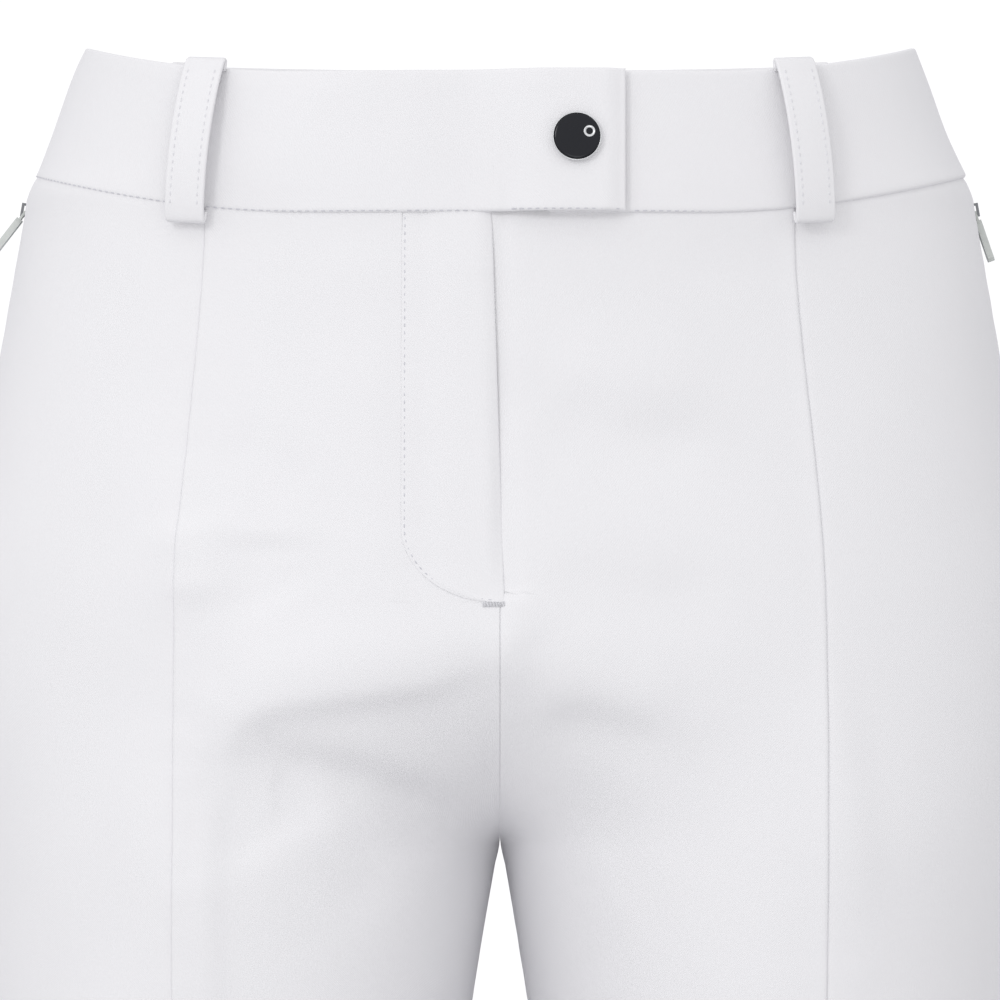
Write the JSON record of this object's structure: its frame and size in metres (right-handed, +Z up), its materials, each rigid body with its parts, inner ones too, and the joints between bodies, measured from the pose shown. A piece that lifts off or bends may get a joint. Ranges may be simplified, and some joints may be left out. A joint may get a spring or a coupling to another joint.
{
  "type": "ski pants",
  "caption": "Slim high-waisted ski pants standing in their worn shape, with a snap tab waistband, belt loops, a flapped fly zip, zipped side pockets and inner snow cuffs.",
  "frame": {"origin": "middle of the waist opening, level with the waistband's top edge at the centre front", "axes": "+Z up along the body, +X towards the wearer's left, -Y to the front"},
  "size_m": [0.3938, 0.2368, 1.0549],
  "materials": {
    "shell": "matte stretch twill with a fine weave",
    "lining": "smooth light lining",
    "facing": "brushed lining strip",
    "gloss": "glossy black",
    "metal": "polished pale metal",
    "darkMetal": "satin dark metal",
    "zip": "woven tape with a coil",
    "puller": "moulded, matte pale greenish grey",
    "guard": "tough plain weave",
    "elastic": "knitted elastic"
  },
  "bodies": {
    "pants": {"front_inner_left": "shell", "front_inner_right": "shell", "front_outer_left": "shell", "front_outer_right": "shell", "back_yoke_left": "shell", "back_yoke_right": "shell", "back_leg_left": "shell", "back_leg_right": "shell", "waistband_front_left": "shell", "waistband_front_right": "shell", "waistband_back_left": "shell", "waistband_back_right": "shell", "belt_loop_front_left": "shell", "belt_loop_front_right": "shell", "belt_loop_side_left": "shell", "belt_loop_side_right": "shell", "belt_loop_back": "shell", "waistband_facing_front_left": "facing", "waistband_facing_front_right": "facing", "waistband_facing_back_left": "facing", "waistband_facing_back_right": "facing", "snap_stud": "darkMetal", "snap_backing": "darkMetal", "fly_shield": "lining", "fly_zip_half_left": "zip", "fly_zip_half_right": "zip", "fly_zip_stop": "darkMetal", "pocket_zip_half_front_left": "zip", "pocket_zip_half_front_right": "zip", "pocket_zip_half_back_left": "zip", "pocket_zip_half_back_right": "zip", "pocket_bag_left": "lining", "pocket_bag_right": "lining", "snow_gaiter_left": "lining", "snow_gaiter_right": "lining", "gaiter_elastic_left": "elastic", "gaiter_elastic_right": "elastic", "scuff_guard_left": "guard", "scuff_guard_right": "guard"},
    "tab": {"waistband_tab": "shell", "snap_cap": "metal", "snap_cap_insert": "gloss", "snap_cap_ring": "metal", "snap_socket": "darkMetal"},
    "flap": {"fly_flap": "shell", "waistband_end_right": "shell"},
    "fly_slider": {"fly_zip_slider": "darkMetal"},
    "fly_pull": {"fly_zip_pull": "darkMetal"},
    "pocket_slider_left": {"pocket_slider_left": "darkMetal"},
    "pocket_slider_right": {"pocket_slider_right": "darkMetal"},
    "pocket_pull_left": {"pocket_pull_left": "puller"},
    "pocket_pull_right": {"pocket_pull_right": "puller"}
  },
  "joints": [
    {"name": "tab_open", "type": "hinge", "parent": "flap", "child": "tab", "pos_m": [-0.00255, -0.09643, -0.0248], "axis": [0, -0.1015, -0.9948], "range_deg": [0, 110]},
    {"name": "fly_flap_lift", "type": "hinge", "parent": "pants", "child": "flap", "pos_m": [-0.034, -0.09571, -0.02477], "axis": [0, -0.1059, -0.9944], "range_deg": [0, 35], "stiffness_Nm_per_rad": 0.001},
    {"name": "fly_zip", "type": "slide", "parent": "pants", "child": "fly_slider", "axis": [0, -0.1017, -0.9948], "range_m": [0, 0.104]},
    {"name": "fly_pull_swing", "type": "hinge", "parent": "fly_slider", "child": "fly_pull", "pos_m": [-0.008, -0.09725, -0.06095], "axis": [-1, 0, 0], "range_deg": [0, 4]},
    {"name": "pocket_zip_left", "type": "slide", "parent": "pants", "child": "pocket_slider_left", "axis": [0.1728, 0.0044, -0.985], "range_m": [0, 0.12]},
    {"name": "pocket_zip_right", "type": "slide", "parent": "pants", "child": "pocket_slider_right", "axis": [-0.1728, 0.0044, -0.985], "range_m": [0, 0.12]},
    {"name": "pocket_pull_left_swing", "type": "hinge", "parent": "pocket_slider_left", "child": "pocket_pull_left", "pos_m": [0.17276, -0.00001, -0.04571], "axis": [0, -1, 0], "range_deg": [-3, 101]},
    {"name": "pocket_pull_right_swing", "type": "hinge", "parent": "pocket_slider_right", "child": "pocket_pull_right", "pos_m": [-0.17276, -0.00001, -0.04571], "axis": [0, 1, 0], "range_deg": [-22, 82]}
  ]
}
